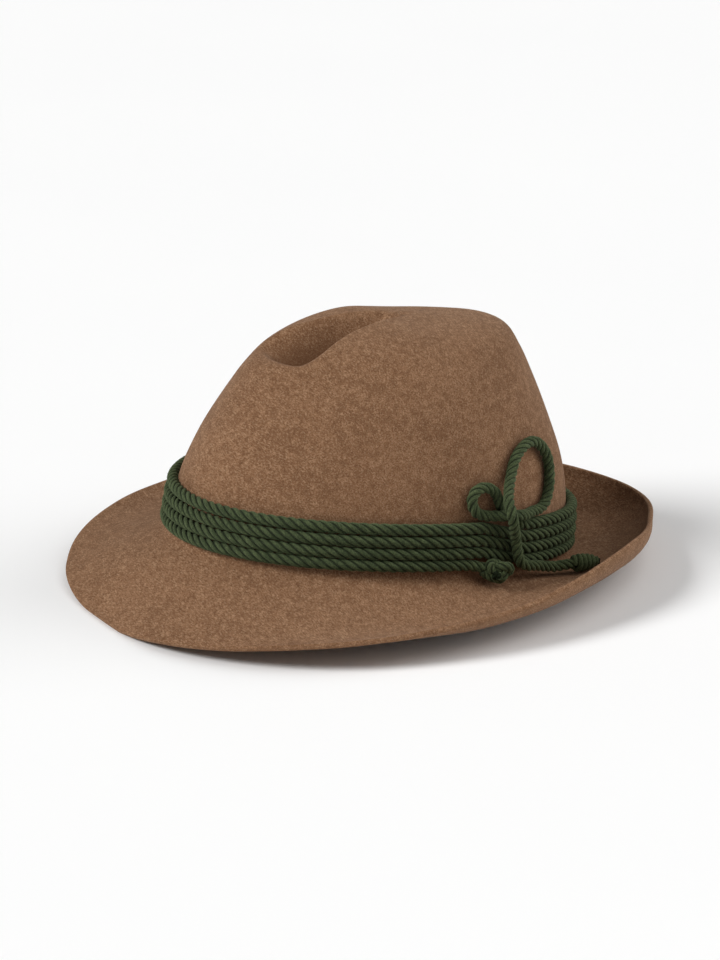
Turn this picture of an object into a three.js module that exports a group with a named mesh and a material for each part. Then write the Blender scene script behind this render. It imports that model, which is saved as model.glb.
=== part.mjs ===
// Tyrolean hat of blocked wool felt with a twisted cord round its crown. Millimetres.
// The front looks towards -Y, the wearer's left towards +X, and +Z is up.
// The hat rests on its brim at Z = 0, so it leans back a little, and X = Y = 0 is its middle.
import * as THREE from 'three';

// Head opening inside the leather, and the walls round it
const HEAD_LENGTH = 197;
const HEAD_WIDTH = 164;
const LEATHER = 1.2;
const FELT = 2.5;
const CLEARANCE = 0.3;
const SWEATBAND_FOOT = 4;
const SWEATBAND_HEIGHT = 36;

// Crown, measured on the felt's outside from the line where it meets the brim
const CROWN_HEIGHT = 116;
const FRONT_NARROWING = 0.02;
const BREAK_ROUNDING = 6;
const BREAK_LIFT = 2;

// Crease along the top, which starts a little behind the foot's front end, and two pinches beside it
const CREASE_LENGTH = 82;
const CREASE_WIDTH = 60;
const CREASE_DEPTH = 24;
const CREASE_SETBACK = 33;
const PINCH_DEPTH = 3;
const PINCH_ANGLE = 45;
const PINCH_SPREAD = 34;
const PINCH_LEVEL = 0.68;
const PINCH_REACH = 0.34;

// Brim, from the crown's foot to its cut edge
const BRIM_REACH = 50;
const BRIM_SWEEP = 40;
const REST_PRESS = 1;

// Cord round the crown, its bow and the knots on its two ends
const CORD_DIAMETER = 5.3;
const CORD_ROUNDS = 4;
const CORD_FOOT = 6.2;
const ROUND_GAP = 0.5;
const BOW_ANGLE = 105;
const START_KNOT_LENGTH = 14;
const START_KNOT_DIAMETER = 12.6;
const END_KNOT_LENGTH = 13.5;
const END_KNOT_DIAMETER = 9.2;

// Mesh
const COLUMNS = 48;
const BRIM_ROWS = 8;
const CROWN_ROWS = 19;
const SWEATBAND_ROWS = 4;
const CORD_SIDES = 8;
const KNOT_SIDES = 12;
const BOW_STEP = 5;

const feltLength = HEAD_LENGTH / 2 + LEATHER + CLEARANCE + FELT;
const feltWidth = HEAD_WIDTH / 2 + LEATHER + CLEARANCE + FELT;
const cordRadius = CORD_DIAMETER / 2;
const columnTurn = 360 / COLUMNS;
const degrees = THREE.MathUtils.degToRad;

// Crown outline from its foot to the middle of its top, one row a level. front, back and side are
// reaches as shares of half the felt's length or width, and the Up columns are shares of the height.
const crownLevels = [
  { at: 0, front: 1, frontUp: 0, back: 1, backUp: 0, side: 1, sideUp: 0 },
  { at: 1, front: 0.995, frontUp: 0.08, back: 1, backUp: 0.09, side: 0.99, sideUp: 0.08 },
  { at: 2, front: 0.985, frontUp: 0.17, back: 0.995, backUp: 0.19, side: 0.98, sideUp: 0.17 },
  { at: 3, front: 0.955, frontUp: 0.28, back: 0.975, backUp: 0.31, side: 0.96, sideUp: 0.28 },
  { at: 4, front: 0.905, frontUp: 0.39, back: 0.93, backUp: 0.43, side: 0.93, sideUp: 0.39 },
  { at: 5, front: 0.845, frontUp: 0.5, back: 0.87, backUp: 0.545, side: 0.885, sideUp: 0.495 },
  { at: 6, front: 0.78, frontUp: 0.61, back: 0.8, backUp: 0.665, side: 0.83, sideUp: 0.61 },
  { at: 7, front: 0.715, frontUp: 0.71, back: 0.73, backUp: 0.775, side: 0.76, sideUp: 0.715 },
  { at: 8, front: 0.635, frontUp: 0.8, back: 0.67, backUp: 0.87, side: 0.67, sideUp: 0.81 },
  { at: 9, front: 0.52, frontUp: 0.86, back: 0.6, backUp: 0.95, side: 0.55, sideUp: 0.885 },
  { at: 10, front: 0.36, frontUp: 0.91, back: 0.46, backUp: 0.97, side: 0.4, sideUp: 0.935 },
  { at: 11, front: 0.18, frontUp: 0.95, back: 0.24, backUp: 0.97, side: 0.21, sideUp: 0.96 },
  { at: 12, front: 0, frontUp: 0.97, back: 0, backUp: 0.97, side: 0, sideUp: 0.97 },
];

// Crease from its closed front end to where it fades at the back. at is the place along the crease's
// length, half a share of half its width and deep a share of its depth.
const creaseStations = [
  { at: 0, half: 0.85, deep: 0 },
  { at: 0.08, half: 0.94, deep: 0.2 },
  { at: 0.16, half: 0.95, deep: 0.6 },
  { at: 0.26, half: 0.85, deep: 0.9 },
  { at: 0.38, half: 0.66, deep: 1 },
  { at: 0.5, half: 0.52, deep: 0.85 },
  { at: 0.63, half: 0.42, deep: 0.55 },
  { at: 0.76, half: 0.3, deep: 0.25 },
  { at: 0.88, half: 0.2, deep: 0.07 },
  { at: 1, half: 0.15, deep: 0 },
];

// Brim by the angle from the front, the same on both sides. reach and rise place the cut edge, as
// shares of the brim's reach and sweep, and the slopes are the brim's at the crown and at its edge.
const brimSections = [
  { at: 0, reach: 0.85, rise: -0.88, slopeIn: -32, slopeOut: -40 },
  { at: 30, reach: 1.02, rise: -0.71, slopeIn: -30, slopeOut: -28 },
  { at: 60, reach: 1.15, rise: -0.38, slopeIn: -30, slopeOut: 10 },
  { at: 90, reach: 1.06, rise: 0, slopeIn: -32, slopeOut: 62 },
  { at: 120, reach: 0.9, rise: 0.48, slopeIn: -24, slopeOut: 95 },
  { at: 150, reach: 0.82, rise: 0.53, slopeIn: -8, slopeOut: 100 },
  { at: 180, reach: 1, rise: 0.53, slopeIn: 2, slopeOut: 90 },
];

// Route of the cord where it isn't wound: how it leaves the knot on its start, and its bow. Each point
// has an angle from the front. Its height above the crown's foot and its stand-off from the crown's wall
// are shares of the cord's diameter.
const startRoute = [
  { angle: 97, height: 0.92, off: 1.11 },
  { angle: 94, height: 1.11, off: 0.64 },
];
const bowRoute = [
  { angle: 109.2, height: 4.89, off: 0.62 },
  { angle: 106, height: 5.7, off: 0.62 },
  { angle: 103, height: 6.36, off: 0.62 },
  { angle: 102.2, height: 7.13, off: 0.62 },
  { angle: 100.7, height: 7.72, off: 0.62 },
  { angle: 97.9, height: 8.02, off: 0.62 },
  { angle: 94.8, height: 7.72, off: 0.62 },
  { angle: 93.4, height: 6.79, off: 0.62 },
  { angle: 94.8, height: 5.89, off: 0.64 },
  { angle: 98.1, height: 5.54, off: 0.7 },
  { angle: 100.8, height: 5.52, off: 1.02 },
  { angle: 103.2, height: 5.53, off: 1.66 },
  { angle: 106.6, height: 5.53, off: 1.75 },
  { angle: 110.4, height: 5.44, off: 1.36 },
  { angle: 114.4, height: 5.53, off: 0.87 },
  { angle: 119.6, height: 5.66, off: 0.63 },
  { angle: 122.4, height: 6.08, off: 0.62 },
  { angle: 124.6, height: 6.91, off: 0.62 },
  { angle: 127, height: 8.23, off: 0.62 },
  { angle: 128.4, height: 9.81, off: 0.62 },
  { angle: 126.4, height: 11.02, off: 0.62 },
  { angle: 122, height: 11.53, off: 0.62 },
  { angle: 116.6, height: 11.23, off: 0.62 },
  { angle: 111.2, height: 10.19, off: 0.62 },
  { angle: 107.7, height: 8.79, off: 0.72 },
  { angle: 104, height: 7.51, off: 1.51 },
  { angle: 101.6, height: 6.58, off: 2.45 },
  { angle: 101.6, height: 5.66, off: 2.85 },
  { angle: 103.6, height: 4.49, off: 2.3 },
  { angle: 105.8, height: 3.4, off: 1.7 },
  { angle: 106.8, height: 2.26, off: 1.64 },
  { angle: 107.8, height: 1.34, off: 1.68 },
  { angle: 110.3, height: 0.9, off: 1.74 },
  { angle: 113.8, height: 0.77, off: 1.7 },
  { angle: 117.8, height: 0.55, off: 1.77 },
  { angle: 121.4, height: 0.42, off: 2.08 },
  { angle: 124, height: 0.55, off: 2.6 },
  { angle: 126, height: 0.64, off: 3.09 },
];

// Outlines of the two knots from the cord to their free end, as shares of their length and radius
const startKnotOutline = [
  { at: 0, wide: 0.5 },
  { at: 0.1, wide: 0.8 },
  { at: 0.3, wide: 0.98 },
  { at: 0.55, wide: 1 },
  { at: 0.8, wide: 0.86 },
  { at: 0.94, wide: 0.6 },
  { at: 1, wide: 0.36 },
];
const endKnotOutline = [
  { at: 0, wide: 0.72 },
  { at: 0.06, wide: 0.94 },
  { at: 0.3, wide: 1 },
  { at: 0.6, wide: 0.9 },
  { at: 0.86, wide: 0.66 },
  { at: 1, wide: 0.4 },
];

// Value of one column between a table's rows, on a smooth curve. A mirrored table carries on past
// its ends as its own reflection.
function column(rows, name, place, mirrored) {
  const last = rows.length - 1;
  const clamped = THREE.MathUtils.clamp(place, rows[0].at, rows[last].at);
  const from = Math.min(last - 1, rows.findLastIndex((row) => row.at <= clamped));
  const slope = (index) => {
    if (mirrored && (index === 0 || index === last)) return 0;
    const low = rows[Math.max(0, index - 1)];
    const high = rows[Math.min(last, index + 1)];
    return (high[name] - low[name]) / (high.at - low.at);
  };
  const span = rows[from + 1].at - rows[from].at;
  const part = (clamped - rows[from].at) / span;
  const square = part * part;
  const cube = square * part;
  return rows[from][name] * (2 * cube - 3 * square + 1)
    + rows[from + 1][name] * (3 * square - 2 * cube)
    + slope(from) * span * (cube - 2 * square + part)
    + slope(from + 1) * span * (cube - square);
}

// Smooth bump that is 1 at 0 and falls to 0 at 1 and beyond
function bump(distance) {
  const inside = Math.max(0, 1 - distance * distance);
  return inside * inside;
}

// The same angle between -180 and 180 degrees
function wrap(angle) {
  return Math.atan2(Math.sin(angle), Math.cos(angle));
}

// Depth of the crease below the top at a place in plan
function creaseDepth(x, y) {
  const along = (y + feltLength - CREASE_SETBACK) / CREASE_LENGTH;
  if (along <= 0 || along >= 1) return 0;
  const half = column(creaseStations, 'half', along) * CREASE_WIDTH / 2;
  return column(creaseStations, 'deep', along) * CREASE_DEPTH * bump(x / half);
}

// Point on the crown's outside before its crease, share 0 at its foot and 1 at the middle of its top
function crownShape(share, angle) {
  const place = share * crownLevels.at(-1).at;
  const level = (name) => column(crownLevels, name, place);
  const ahead = Math.cos(angle);
  const beside = Math.sin(angle);
  const end = ahead > 0 ? 'front' : 'back';
  const offAngle = Math.abs(Math.abs(THREE.MathUtils.radToDeg(angle)) - PINCH_ANGLE) / PINCH_SPREAD;
  const pinch = PINCH_DEPTH * bump(offAngle) * bump((share - PINCH_LEVEL) / PINCH_REACH);
  const x = beside * (level('side') * feltWidth * (1 - FRONT_NARROWING * ahead) - pinch);
  const y = -ahead * (level(end) * feltLength - pinch);
  const up = level(end + 'Up') * ahead * ahead + level('sideUp') * beside * beside;
  const foot = -BREAK_LIFT * Math.cos(2 * angle) * Math.max(0, 1 - share / PINCH_LEVEL);
  return new THREE.Vector3(x, y, up * CROWN_HEIGHT + foot);
}

function crownPoint(share, angle) {
  const point = crownShape(share, angle);
  point.z -= creaseDepth(point.x, point.y);
  return point;
}

// Point on the brim's upper side, share 0 at the crown's foot and 1 at the cut edge
function brimPoint(share, angle) {
  const turn = Math.abs(THREE.MathUtils.radToDeg(angle));
  const section = (name) => column(brimSections, name, turn, true);
  const reach = section('reach') * BRIM_REACH;
  const rise = section('rise') * BRIM_SWEEP;
  const chord = Math.hypot(reach, rise);
  const slopeIn = degrees(section('slopeIn'));
  const slopeOut = degrees(section('slopeOut'));
  const square = share * share;
  const cube = square * share;
  const leave = chord * (cube - 2 * square + share);
  const cross = 3 * square - 2 * cube;
  const arrive = chord * (cube - square);
  const out = leave * Math.cos(slopeIn) + cross * reach + arrive * Math.cos(slopeOut);
  const up = leave * Math.sin(slopeIn) + cross * rise + arrive * Math.sin(slopeOut);
  const foot = crownPoint(0, angle);
  return foot.add(new THREE.Vector3(out * Math.sin(angle), -out * Math.cos(angle), up));
}

// Point on the felt's outside: 0 is the brim's edge, 1 the crown's foot and 2 the middle of the top.
// The corner at the crown's foot is rounded by a curve from the brim to the crown.
const roundingStart = 1 - BREAK_ROUNDING / BRIM_REACH;
const roundingEnd = 1 + BREAK_ROUNDING / CROWN_HEIGHT;
function outsidePoint(place, angle) {
  const sharp = (at) => (at < 1 ? brimPoint(1 - at, angle) : crownPoint(at - 1, angle));
  if (place <= roundingStart || place >= roundingEnd) return sharp(place);
  const part = (place - roundingStart) / (roundingEnd - roundingStart);
  const towards = sharp(roundingStart).lerp(sharp(1), part);
  return towards.lerp(sharp(1).lerp(sharp(roundingEnd), part), part);
}

// Unit vector square to a surface that is given by a place and an angle, pointing out. It is worked out
// from points a small step of place or angle apart.
const SMALL_STEP = 0.002;
function outward(surface, place, angle, first, last) {
  const low = Math.max(first, place - SMALL_STEP);
  const high = Math.min(last, place + SMALL_STEP);
  const up = surface(high, angle).sub(surface(low, angle));
  const round = surface(place, wrap(angle + SMALL_STEP)).sub(surface(place, wrap(angle - SMALL_STEP)));
  return round.cross(up).normalize();
}

// Point at a depth under the felt's outside. The middle of the top is a corner of the columns, so the
// direction there is taken just beside it.
const BESIDE_TOP = 1.98;
function feltPoint(place, angle, depth) {
  const direction = outward(outsidePoint, place, angle, 0, BESIDE_TOP);
  return outsidePoint(place, angle).addScaledVector(direction, -depth);
}

// Closed mesh through a row of rings with the same number of points. Open ends are capped at the
// middle of their ring.
function skin(rings, joined = false) {
  const sides = rings[0].length;
  const points = rings.flat();
  const faces = [];
  const strips = joined ? rings.length : rings.length - 1;
  for (let row = 0; row < strips; row += 1) {
    const next = (row + 1) % rings.length;
    for (let side = 0; side < sides; side += 1) {
      const across = (side + 1) % sides;
      const corner = [row * sides + side, row * sides + across, next * sides + across, next * sides + side];
      faces.push(corner[0], corner[1], corner[2], corner[0], corner[2], corner[3]);
    }
  }
  const cap = (ring, offset, flip) => {
    const centre = ring.reduce((sum, point) => sum.add(point), new THREE.Vector3());
    points.push(centre.divideScalar(sides));
    for (let side = 0; side < sides; side += 1) {
      const pair = [offset + side, offset + ((side + 1) % sides)];
      if (flip) pair.reverse();
      faces.push(points.length - 1, pair[1], pair[0]);
    }
  };
  if (!joined) {
    cap(rings[0], 0, false);
    cap(rings.at(-1), (rings.length - 1) * sides, true);
  }
  const geometry = new THREE.BufferGeometry().setFromPoints(points);
  geometry.setIndex(faces);
  geometry.computeVertexNormals();
  return geometry;
}

const columnAngles = Array.from({ length: COLUMNS }, (_, index) => wrap(degrees(index * columnTurn)));

// Places of the felt's rings, from the brim's edge over the rounded foot to near the top's middle
function feltPlaces() {
  const places = [];
  for (let row = 0; row <= BRIM_ROWS; row += 1) places.push(roundingStart * (row / BRIM_ROWS));
  places.push((roundingStart + roundingEnd) / 2);
  for (let row = 0; row < CROWN_ROWS; row += 1) {
    places.push(roundingEnd + (2 - roundingEnd) * (row / CROWN_ROWS));
  }
  return places;
}

// Rings of the felt at one depth, each a list of points round the hat
function feltRings(depth) {
  return feltPlaces().map((place) => columnAngles.map((angle) => feltPoint(place, angle, depth)));
}

function turned(point, turn) {
  return point.clone().applyAxisAngle(new THREE.Vector3(1, 0, 0), turn);
}

// Turn and lift that set the hat down: it leans until its front edge and the foot of its back are
// equally low, and the felt is pressed by a little at both. Each round of turning finds those two places
// more closely.
const REST_TRIES = 6;
function restingPlace(rings) {
  const points = rings.flat();
  const height = (point, turn) => turned(point, turn).z;
  const lowest = (side, turn) => points.filter((point) => point.y * side > 0)
    .reduce((best, point) => (height(point, turn) < height(best, turn) ? point : best));
  let turn = 0;
  for (let round = 0; round < REST_TRIES; round += 1) {
    const front = lowest(-1, turn);
    const back = lowest(1, turn);
    turn = -Math.atan2(back.z - front.z, back.y - front.y);
  }
  const span = new THREE.Box3().setFromPoints(points.map((point) => turned(point, turn)));
  return { turn, middle: (span.min.y + span.max.y) / 2, floor: span.min.z + REST_PRESS };
}

const innerRings = feltRings(FELT);
const outerRings = feltRings(0);
const rest = restingPlace([...innerRings, ...outerRings]);

// Sets a point of the hat down on the floor
function setDown(point) {
  return turned(point, rest.turn).sub(new THREE.Vector3(0, rest.middle, rest.floor));
}

// Felt wall: the inside from the top's middle down to the edge, then the outside back up. Where the
// underside would pass through the floor, both sides of the felt are lifted together.
function feltGeometry() {
  const inside = innerRings.map((ring) => ring.map(setDown));
  const outside = outerRings.map((ring) => ring.map(setDown));
  inside.forEach((ring, row) => ring.forEach((point, index) => {
    const lift = Math.max(0, -point.z);
    point.z += lift;
    outside[row][index].z += lift;
  }));
  return skin([...inside.reverse(), ...outside]);
}

// Share of the crown, from its foot, whose outside lies at a height above the foot. It is searched for
// below the place where the crown's top levels off, by halving.
const TOP_LEVELS_OFF = 0.9;
const HALVINGS = 30;
function crownShare(height, angle) {
  let low = 0;
  let high = TOP_LEVELS_OFF;
  for (let round = 0; round < HALVINGS; round += 1) {
    const middle = (low + high) / 2;
    if (crownShape(middle, angle).z - crownShape(0, angle).z < height) low = middle;
    else high = middle;
  }
  return low;
}

// Leather strip inside the crown's foot: a thin wall that follows the felt
function sweatbandGeometry() {
  const outer = FELT + CLEARANCE;
  const heights = Array.from({ length: SWEATBAND_ROWS + 1 }, (_, row) => (
    SWEATBAND_FOOT + SWEATBAND_HEIGHT * (row / SWEATBAND_ROWS)));
  const ring = (height, depth) => columnAngles
    .map((angle) => setDown(feltPoint(1 + crownShare(height, angle), angle, depth)));
  const outside = heights.map((height) => ring(height, outer));
  const inside = heights.map((height) => ring(height, outer + LEATHER));
  return skin([...inside.reverse(), ...outside], true);
}

// Point of the cord's route, with its height and stand-off in diameters of the cord
function routePoint({ angle, height, off }) {
  const turn = wrap(degrees(angle));
  const share = crownShare(height * CORD_DIAMETER, turn);
  const direction = outward(crownShape, share, turn, 0, 1);
  return crownShape(share, turn).addScaledVector(direction, off * CORD_DIAMETER);
}

// The rounds run from the knot on the cord's start towards the front and on round the crown, each at
// its own height. They climb by one cord in the two columns behind the bow's crossing strand.
function roundsRoute() {
  const first = BOW_ANGLE - 2 * columnTurn;
  const last = BOW_ANGLE + columnTurn - 360 * CORD_ROUNDS;
  const seat = (cordRadius + CLEARANCE) / CORD_DIAMETER;
  const route = [];
  for (let angle = first; angle >= last; angle -= columnTurn) {
    const passed = (BOW_ANGLE + columnTurn - angle) / 360;
    const climbed = Math.min(1, (passed % 1) * 360 / (2 * columnTurn));
    const round = Math.min(CORD_ROUNDS - 1, Math.max(0, Math.floor(passed) - 1 + climbed));
    const height = CORD_FOOT + (CORD_DIAMETER + ROUND_GAP) * round;
    route.push({ angle, height: height / CORD_DIAMETER, off: seat });
  }
  return route;
}

// Middle line of the whole cord, with even steps along its bow
function cordLine() {
  const rounds = roundsRoute().map(routePoint);
  const bow = new THREE.CatmullRomCurve3([rounds.at(-1), ...bowRoute.map(routePoint)]);
  const steps = Math.round(bow.getLength() / BOW_STEP);
  return [...startRoute.map(routePoint), ...rounds, ...bow.getSpacedPoints(steps).slice(1)];
}

// Closed skin of round sections along a line, with a radius at each of its points
function rod(line, radii, sides) {
  const rings = line.map((point, index) => {
    const before = line[Math.max(0, index - 1)];
    const after = line[Math.min(line.length - 1, index + 1)];
    const along = after.clone().sub(before).normalize();
    const out = new THREE.Vector3(point.x / feltWidth ** 2, point.y / feltLength ** 2, 0);
    const across = along.clone().cross(out).normalize();
    const up = across.clone().cross(along);
    return Array.from({ length: sides }, (_, side) => {
      const angle = (side / sides) * 2 * Math.PI;
      const spoke = up.clone().multiplyScalar(Math.cos(angle)).addScaledVector(across, Math.sin(angle));
      return setDown(point.clone().addScaledVector(spoke, radii[index]));
    });
  });
  return skin(rings);
}

// Knot that carries on from an end of the cord in the direction the cord has there
function knotGeometry(end, before, outline, length, diameter) {
  const along = end.clone().sub(before).normalize();
  const foot = end.clone().addScaledVector(along, CLEARANCE);
  const line = outline.map(({ at }) => foot.clone().addScaledVector(along, at * length));
  const radii = outline.map(({ wide }) => wide * diameter / 2);
  return rod(line, radii, KNOT_SIDES);
}

const felt = new THREE.MeshStandardMaterial({ color: 0x8a6a4c, roughness: 0.95, metalness: 0 });
const leather = new THREE.MeshStandardMaterial({ color: 0x4a3020, roughness: 0.55, metalness: 0 });
const cordGreen = new THREE.MeshStandardMaterial({ color: 0x223f26, roughness: 0.85, metalness: 0 });

function piece(name, geometry, material) {
  const mesh = new THREE.Mesh(geometry, material);
  mesh.name = name;
  return mesh;
}

const line = cordLine();
const cord = rod(line, line.map(() => cordRadius), CORD_SIDES);
const startKnot = knotGeometry(line[0], line[1], startKnotOutline, START_KNOT_LENGTH, START_KNOT_DIAMETER);
const endKnot = knotGeometry(line.at(-1), line.at(-2), endKnotOutline, END_KNOT_LENGTH, END_KNOT_DIAMETER);

const hat = new THREE.Group();
hat.add(piece('felt_body', feltGeometry(), felt));
hat.add(piece('sweatband', sweatbandGeometry(), leather));
hat.add(piece('cord', cord, cordGreen));
hat.add(piece('cord_start_knot', startKnot, cordGreen));
hat.add(piece('cord_end_knot', endKnot, cordGreen));

export default hat;
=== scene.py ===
import math

import bpy
import numpy as np
from mathutils import Matrix, Vector


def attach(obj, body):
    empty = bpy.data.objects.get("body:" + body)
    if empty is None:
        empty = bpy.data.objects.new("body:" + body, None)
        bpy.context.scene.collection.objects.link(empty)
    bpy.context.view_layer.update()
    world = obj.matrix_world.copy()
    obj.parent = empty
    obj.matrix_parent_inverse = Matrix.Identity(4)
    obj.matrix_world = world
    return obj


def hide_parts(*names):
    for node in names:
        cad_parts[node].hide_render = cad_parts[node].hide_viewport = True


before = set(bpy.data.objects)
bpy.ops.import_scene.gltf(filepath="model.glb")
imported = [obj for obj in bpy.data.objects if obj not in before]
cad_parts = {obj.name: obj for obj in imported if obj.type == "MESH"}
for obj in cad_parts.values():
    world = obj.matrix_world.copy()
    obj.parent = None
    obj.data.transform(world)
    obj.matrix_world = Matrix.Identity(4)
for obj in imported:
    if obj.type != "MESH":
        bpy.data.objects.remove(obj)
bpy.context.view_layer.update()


# Felt hat: one hood of mottled brown wool felt, 2.5 mm thick, blocked to a creased crown and a brim that
# dips at the front and turns up at the back. Its shape follows the solid's own sizes and sections, in
# finer rings, with the slight unevenness of hand-blocked felt and a softened cut edge.
HEAD_LENGTH = 197
HEAD_WIDTH = 164
LEATHER = 1.2
FELT = 2.5
CLEARANCE = 0.3
CROWN_HEIGHT = 116
FRONT_NARROWING = 0.02
BREAK_ROUNDING = 6
BREAK_LIFT = 2
CREASE_LENGTH = 82
CREASE_WIDTH = 60
CREASE_DEPTH = 24
CREASE_SETBACK = 33
PINCH_DEPTH = 3
PINCH_ANGLE = 45
PINCH_SPREAD = 34
PINCH_LEVEL = 0.68
PINCH_REACH = 0.34
BRIM_REACH = 50
BRIM_SWEEP = 40
REST_PRESS = 1
SOLID_COLUMNS = 48
SOLID_BRIM_ROWS = 8
SOLID_CROWN_ROWS = 19
FELT_COLUMNS = 264
BRIM_ROWS = 34
FOOT_ROWS = 7
CROWN_ROWS = 84
LAST_RING = 1.985
LAST_DIRECTION = 1.98
SETTLING_TURNS = 6
UNEVENNESS = 0.32
EDGE_ROUNDING = 0.45
EDGE_PARTS = (0.12, 0.5, 0.88)
FIBRE_SCALE = (560, 1500, 1500)
FELT_MID = (0.222, 0.115, 0.059, 1)
FELT_DARK = (0.105, 0.047, 0.021, 1)
FELT_LIGHT = (0.47, 0.31, 0.19, 1)

felt_length = HEAD_LENGTH / 2 + LEATHER + CLEARANCE + FELT
felt_width = HEAD_WIDTH / 2 + LEATHER + CLEARANCE + FELT
column_turn = 360 / SOLID_COLUMNS
rounding_start = 1 - BREAK_ROUNDING / BRIM_REACH
rounding_end = 1 + BREAK_ROUNDING / CROWN_HEIGHT

crown_levels = {
    "at": [0, 1, 2, 3, 4, 5, 6, 7, 8, 9, 10, 11, 12],
    "front": [1, 0.995, 0.985, 0.955, 0.905, 0.845, 0.78, 0.715, 0.635, 0.52, 0.36, 0.18, 0],
    "front_up": [0, 0.08, 0.17, 0.28, 0.39, 0.5, 0.61, 0.71, 0.8, 0.86, 0.91, 0.95, 0.97],
    "back": [1, 1, 0.995, 0.975, 0.93, 0.87, 0.8, 0.73, 0.67, 0.6, 0.46, 0.24, 0],
    "back_up": [0, 0.09, 0.19, 0.31, 0.43, 0.545, 0.665, 0.775, 0.87, 0.95, 0.97, 0.97, 0.97],
    "side": [1, 0.99, 0.98, 0.96, 0.93, 0.885, 0.83, 0.76, 0.67, 0.55, 0.4, 0.21, 0],
    "side_up": [0, 0.08, 0.17, 0.28, 0.39, 0.495, 0.61, 0.715, 0.81, 0.885, 0.935, 0.96, 0.97],
}
crease_stations = {
    "at": [0, 0.08, 0.16, 0.26, 0.38, 0.5, 0.63, 0.76, 0.88, 1],
    "half": [0.85, 0.94, 0.95, 0.85, 0.66, 0.52, 0.42, 0.3, 0.2, 0.15],
    "deep": [0, 0.2, 0.6, 0.9, 1, 0.85, 0.55, 0.25, 0.07, 0],
}
brim_sections = {
    "at": [0, 30, 60, 90, 120, 150, 180],
    "reach": [0.85, 1.02, 1.15, 1.06, 0.9, 0.82, 1],
    "rise": [-0.88, -0.71, -0.38, 0, 0.48, 0.53, 0.53],
    "slope_in": [-32, -30, -30, -32, -24, -8, 2],
    "slope_out": [-40, -28, 10, 62, 95, 100, 90],
}


def column(table, name, place, mirrored=False):
    """Value of one column of a table between its rows, on a smooth curve."""
    at = np.array(table["at"], float)
    value = np.array(table[name], float)
    slope = np.zeros(len(at))
    slope[1:-1] = (value[2:] - value[:-2]) / (at[2:] - at[:-2])
    if not mirrored:
        slope[0] = (value[1] - value[0]) / (at[1] - at[0])
        slope[-1] = (value[-1] - value[-2]) / (at[-1] - at[-2])
    place = np.clip(place, at[0], at[-1])
    row = np.clip(np.searchsorted(at, place, side="right") - 1, 0, len(at) - 2)
    span = at[row + 1] - at[row]
    part = (place - at[row]) / span
    square = part ** 2
    cube = part ** 3
    return (
        value[row] * (2 * cube - 3 * square + 1)
        + value[row + 1] * (3 * square - 2 * cube)
        + slope[row] * span * (cube - 2 * square + part)
        + slope[row + 1] * span * (cube - square)
    )


def bump(distance):
    return np.maximum(0, 1 - distance ** 2) ** 2


def crease_depth(x, y):
    along = (y + felt_length - CREASE_SETBACK) / CREASE_LENGTH
    half = column(crease_stations, "half", along) * CREASE_WIDTH / 2
    depth = column(crease_stations, "deep", along) * CREASE_DEPTH * bump(x / half)
    return np.where((along > 0) & (along < 1), depth, 0)


def crown_shape(share, angle):
    """Point on the crown before its crease, share 0 at its foot and 1 at the middle of its top."""
    share, angle = np.broadcast_arrays(np.asarray(share, float), np.asarray(angle, float))
    place = share * crown_levels["at"][-1]
    ahead = np.cos(angle)
    beside = np.sin(angle)
    front = ahead > 0
    reach = np.where(front, column(crown_levels, "front", place), column(crown_levels, "back", place))
    end_up = np.where(front, column(crown_levels, "front_up", place), column(crown_levels, "back_up", place))
    off_angle = np.abs(np.abs(np.degrees(angle)) - PINCH_ANGLE) / PINCH_SPREAD
    pinch = PINCH_DEPTH * bump(off_angle) * bump((share - PINCH_LEVEL) / PINCH_REACH)
    side = column(crown_levels, "side", place) * felt_width * (1 - FRONT_NARROWING * ahead)
    up = end_up * ahead ** 2 + column(crown_levels, "side_up", place) * beside ** 2
    foot = -BREAK_LIFT * np.cos(2 * angle) * np.maximum(0, 1 - share / PINCH_LEVEL)
    sideways = beside * (side - pinch)
    endways = -ahead * (reach * felt_length - pinch)
    return np.stack([sideways, endways, up * CROWN_HEIGHT + foot], -1)


def crown_point(share, angle):
    point = crown_shape(share, angle)
    point[..., 2] -= crease_depth(point[..., 0], point[..., 1])
    return point


def brim_point(share, angle):
    """Point on the brim's upper side, share 0 at the crown's foot and 1 at the cut edge."""
    share, angle = np.broadcast_arrays(np.asarray(share, float), np.asarray(angle, float))
    turn = np.abs(np.degrees(angle))
    reach = column(brim_sections, "reach", turn, True) * BRIM_REACH
    rise = column(brim_sections, "rise", turn, True) * BRIM_SWEEP
    chord = np.hypot(reach, rise)
    slope_in = np.radians(column(brim_sections, "slope_in", turn, True))
    slope_out = np.radians(column(brim_sections, "slope_out", turn, True))
    square = share ** 2
    cube = share ** 3
    leave = chord * (cube - 2 * square + share)
    cross = 3 * square - 2 * cube
    arrive = chord * (cube - square)
    out = leave * np.cos(slope_in) + cross * reach + arrive * np.cos(slope_out)
    up = leave * np.sin(slope_in) + cross * rise + arrive * np.sin(slope_out)
    return crown_point(share * 0, angle) + np.stack([out * np.sin(angle), -out * np.cos(angle), up], -1)


def outside_point(place, angle):
    """Point on the felt's outside: 0 is the brim's edge, 1 the crown's foot and 2 the top's middle."""
    place, angle = np.broadcast_arrays(np.asarray(place, float), np.asarray(angle, float))

    def sharp(at):
        at = at + place * 0
        on_brim = brim_point(np.clip(1 - at, 0, 1), angle)
        return np.where((at < 1)[..., None], on_brim, crown_point(np.clip(at - 1, 0, 1), angle))

    part = np.clip((place - rounding_start) / (rounding_end - rounding_start), 0, 1)[..., None]
    corner = sharp(1.0)
    towards = sharp(rounding_start) * (1 - part) + corner * part
    rounded = towards * (1 - part) + (corner * (1 - part) + sharp(rounding_end) * part) * part
    inside = (place > rounding_start) & (place < rounding_end)
    return np.where(inside[..., None], rounded, sharp(place))


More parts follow.
